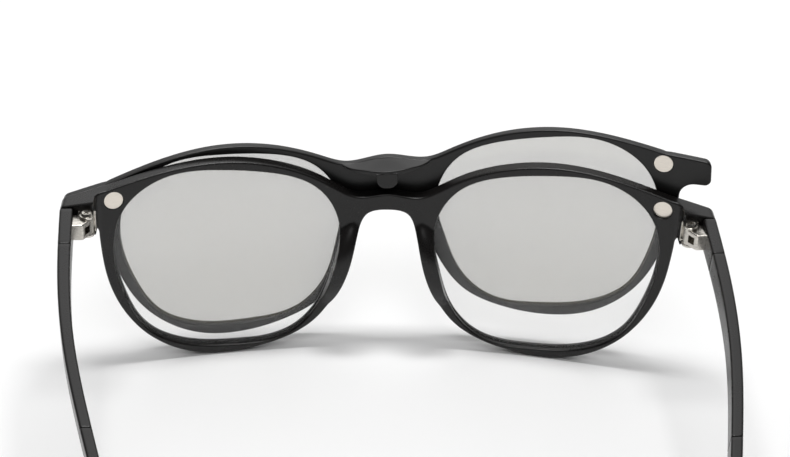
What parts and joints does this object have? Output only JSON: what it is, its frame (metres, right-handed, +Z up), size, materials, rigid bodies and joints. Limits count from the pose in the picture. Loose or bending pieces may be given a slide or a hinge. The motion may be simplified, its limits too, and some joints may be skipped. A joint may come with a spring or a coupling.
{
  "type": "eyeglass frame with magnetic clip-on",
  "caption": "Round spectacle frame with folding temples and a clear clip-on front that seats on magnets and turns up about one of them.",
  "frame": {"origin": "middle of the footprint, on the surface that the rims and the temple tips stand on", "axes": "+Z up, +Y forward, away from the wearer, +X to the wearer's right"},
  "size_m": [0.1382, 0.157, 0.0559],
  "materials": {
    "frame_plastic": "fine matte, moulded",
    "clip_plastic": "fine matte, moulded",
    "clear_lens": "clear demo lens",
    "clip_lens": "clear with a light grey cast",
    "hinge_metal": "plated, satin",
    "magnet_metal": "nickel plated"
  },
  "bodies": {
    "front": {"front_frame": "frame_plastic", "lens_left": "clear_lens", "lens_right": "clear_lens", "frame_magnet_left": "magnet_metal", "frame_magnet_right": "magnet_metal", "front_hinge_left": "hinge_metal", "front_hinge_right": "hinge_metal", "hinge_screw_left": "hinge_metal", "hinge_screw_right": "hinge_metal"},
    "temple_left": {"temple_hinge_left": "hinge_metal", "temple_head_left": "frame_plastic", "temple_arm_left": "frame_plastic", "temple_tip_left": "frame_plastic"},
    "temple_right": {"temple_hinge_right": "hinge_metal", "temple_head_right": "frame_plastic", "temple_arm_right": "frame_plastic", "temple_tip_right": "frame_plastic"},
    "clip": {"clip_frame": "clip_plastic", "clip_lens_left": "clip_lens", "clip_lens_right": "clip_lens", "clip_magnet_left": "magnet_metal", "clip_magnet_right": "magnet_metal"}
  },
  "joints": [
    {"name": "temple_left_fold", "type": "hinge", "parent": "front", "child": "temple_left", "pos_m": [-0.06327, 0.05783, 0.03912], "axis": [0, 0.0698, 0.9976], "range_deg": [-4.4, 81]},
    {"name": "temple_right_fold", "type": "hinge", "parent": "front", "child": "temple_right", "pos_m": [0.06313, 0.05783, 0.03912], "axis": [0, -0.0698, -0.9976], "range_deg": [0, 78]},
    {"name": "clip_turn", "type": "hinge", "parent": "front", "child": "clip", "pos_m": [-0.05921, 0.06772, 0.04173], "axis": [0.2839, -0.9565, 0.0669], "range_deg": [-4.87, 40]}
  ]
}
